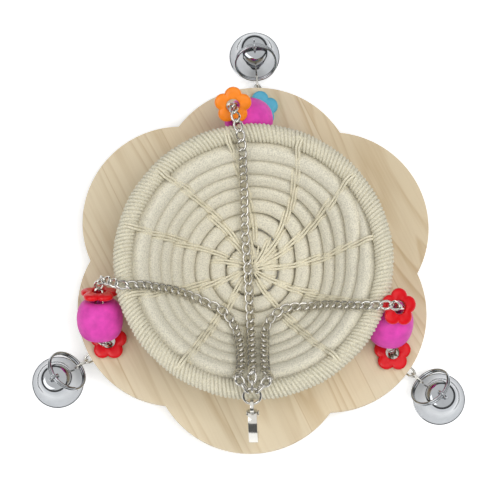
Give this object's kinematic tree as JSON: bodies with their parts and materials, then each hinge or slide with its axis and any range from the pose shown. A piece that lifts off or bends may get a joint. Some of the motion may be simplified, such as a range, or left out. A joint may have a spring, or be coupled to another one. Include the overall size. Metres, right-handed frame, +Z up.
{
  "type": "hanging bird nest",
  "caption": "Hanging bird nest: a coiled rope bowl wedged in a lobed wooden board, hung on chains with painted beads, bells and a snap clasp.",
  "frame": {"origin": "on the table under the centre of the board, at the height of the bowl's flat base", "axes": "+Z up through the bowl, +Y towards the back corner that carries the blue and orange flowers, +X to the right"},
  "size_m": [0.2336, 0.2359, 0.0656],
  "materials": {
    "pine": "sanded, unvarnished, edge-glued strips",
    "cotton_rope": "soft natural cotton rope",
    "cotton_whipping": "natural cotton string, wound tight",
    "nickel": "bright nickel-plated steel wire",
    "chrome": "polished plating",
    "red_paint": "painted wood, satin",
    "blue_paint": "painted wood, satin",
    "orange_paint": "painted wood, satin",
    "magenta_paint": "painted wood, satin"
  },
  "bodies": {
    "nest": {"flower_board": "pine", "nest_coil": "cotton_rope", "nest_rim": "cotton_whipping", "gather_ring": "nickel", "left_chain": "nickel", "left_tail_link": "nickel", "left_end_link": "nickel", "right_chain": "nickel", "right_tail_link": "nickel", "right_end_link": "nickel", "back_chain": "nickel", "back_tail_link": "nickel", "back_end_link": "nickel"},
    "left_lower_flower_body": {"left_lower_flower": "red_paint"},
    "left_bead_body": {"left_bead": "magenta_paint"},
    "left_upper_flower_body": {"left_upper_flower": "red_paint"},
    "left_ring_body": {"left_split_ring": "chrome"},
    "left_bell_body": {"left_bell_shell": "chrome", "left_bell_loop": "chrome"},
    "left_clapper_body": {"left_bell_clapper": "nickel"},
    "right_lower_flower_body": {"right_lower_flower": "red_paint"},
    "right_bead_body": {"right_bead": "magenta_paint"},
    "right_upper_flower_body": {"right_upper_flower": "red_paint"},
    "right_ring_body": {"right_split_ring": "chrome"},
    "right_bell_body": {"right_bell_shell": "chrome", "right_bell_loop": "chrome"},
    "right_clapper_body": {"right_bell_clapper": "nickel"},
    "back_lower_flower_body": {"back_lower_flower": "blue_paint"},
    "back_bead_body": {"back_bead": "magenta_paint"},
    "back_upper_flower_body": {"back_upper_flower": "orange_paint"},
    "back_ring_body": {"back_split_ring": "chrome"},
    "back_bell_body": {"back_bell_shell": "chrome", "back_bell_loop": "chrome"},
    "back_clapper_body": {"back_bell_clapper": "nickel"},
    "clasp": {"clasp_body": "nickel", "clasp_pin": "nickel", "clasp_spring": "nickel"},
    "clasp_gate_body": {"clasp_gate": "nickel"}
  },
  "joints": [
    {"name": "left_lower_flower_spin", "type": "hinge", "parent": "nest", "child": "left_lower_flower_body", "pos_m": [-0.07697, -0.04162, 0.0171], "axis": [0, 0, 1], "continuous": true},
    {"name": "left_bead_spin", "type": "hinge", "parent": "nest", "child": "left_bead_body", "pos_m": [-0.0806, -0.0318, 0.0321], "axis": [-0.0151, 0.8659, 0.5], "continuous": true},
    {"name": "left_upper_flower_spin", "type": "hinge", "parent": "nest", "child": "left_upper_flower_body", "pos_m": [-0.0808, -0.0192, 0.0387], "axis": [-0.0151, 0.8659, 0.5], "continuous": true},
    {"name": "left_ring_swing", "type": "hinge", "parent": "nest", "child": "left_ring_body", "pos_m": [-0.09295, -0.05314, 0.006], "axis": [0.585, -0.8111, 0], "range_deg": [-10, 50]},
    {"name": "left_bell_swing", "type": "hinge", "parent": "left_ring_body", "child": "left_bell_body", "pos_m": [-0.10511, -0.06191, 0.02265], "axis": [-0.585, 0.8111, 0], "range_deg": [-1, 80]},
    {"name": "left_clapper_swing", "type": "hinge", "parent": "left_bell_body", "child": "left_clapper_body", "pos_m": [-0.10511, -0.06191, 0.0151], "axis": [0.585, -0.8111, 0], "range_deg": [-25, 25]},
    {"name": "right_lower_flower_spin", "type": "hinge", "parent": "nest", "child": "right_lower_flower_body", "pos_m": [0.07453, -0.04585, 0.0171], "axis": [0, 0, 1], "continuous": true},
    {"name": "right_bead_spin", "type": "hinge", "parent": "nest", "child": "right_bead_body", "pos_m": [0.0723, -0.0326, 0.0321], "axis": [0.1228, 0.6964, 0.7071], "continuous": true},
    {"name": "right_upper_flower_spin", "type": "hinge", "parent": "nest", "child": "right_upper_flower_body", "pos_m": [0.0755, -0.0265, 0.0506], "axis": [0.4019, -0.1306, 0.9063], "continuous": true},
    {"name": "right_ring_swing", "type": "hinge", "parent": "nest", "child": "right_ring_body", "pos_m": [0.08944, -0.05872, 0.006], "axis": [0.6534, 0.757, 0], "range_deg": [-10, 50]},
    {"name": "right_bell_swing", "type": "hinge", "parent": "right_ring_body", "child": "right_bell_body", "pos_m": [0.10079, -0.06852, 0.02265], "axis": [-0.6534, -0.757, 0], "range_deg": [-1, 80]},
    {"name": "right_clapper_swing", "type": "hinge", "parent": "right_bell_body", "child": "right_clapper_body", "pos_m": [0.10079, -0.06852, 0.0151], "axis": [0.6534, 0.757, 0], "range_deg": [-25, 25]},
    {"name": "back_lower_flower_spin", "type": "hinge", "parent": "nest", "child": "back_lower_flower_body", "pos_m": [0.00244, 0.08747, 0.0171], "axis": [0, 0, 1], "continuous": true},
    {"name": "back_bead_spin", "type": "hinge", "parent": "nest", "child": "back_bead_body", "pos_m": [-0.0035, 0.0772, 0.0321], "axis": [-0.7544, -0.133, 0.6428], "continuous": true},
    {"name": "back_upper_flower_spin", "type": "hinge", "parent": "nest", "child": "back_upper_flower_body", "pos_m": [-0.0118, 0.0806, 0.05], "axis": [0.0436, -0.4981, 0.866], "continuous": true},
    {"name": "back_ring_swing", "type": "hinge", "parent": "nest", "child": "back_ring_body", "pos_m": [0.00045, 0.10707, 0.006], "axis": [-0.9949, -0.1011, 0], "range_deg": [-10, 50]},
    {"name": "back_bell_swing", "type": "hinge", "parent": "back_ring_body", "child": "back_bell_body", "pos_m": [-0.00106, 0.12198, 0.02265], "axis": [0.9949, 0.1011, 0], "range_deg": [-1, 80]},
    {"name": "back_clapper_swing", "type": "hinge", "parent": "back_bell_body", "child": "back_clapper_body", "pos_m": [-0.00106, 0.12198, 0.0151], "axis": [-0.9949, -0.1011, 0], "range_deg": [-25, 25]},
    {"name": "clasp_swing", "type": "hinge", "parent": "nest", "child": "clasp", "pos_m": [0.0003, -0.0776, 0.0528], "axis": [1, 0, 0], "range_deg": [-90, 0]},
    {"name": "clasp_gate_swing", "type": "hinge", "parent": "clasp", "child": "clasp_gate_body", "pos_m": [0.00067, -0.08148, 0.04346], "axis": [-0.9991, -0.0264, -0.0339], "range_deg": [0, 18], "stiffness_Nm_per_rad": 0.02, "springref_deg": -17.19}
  ]
}
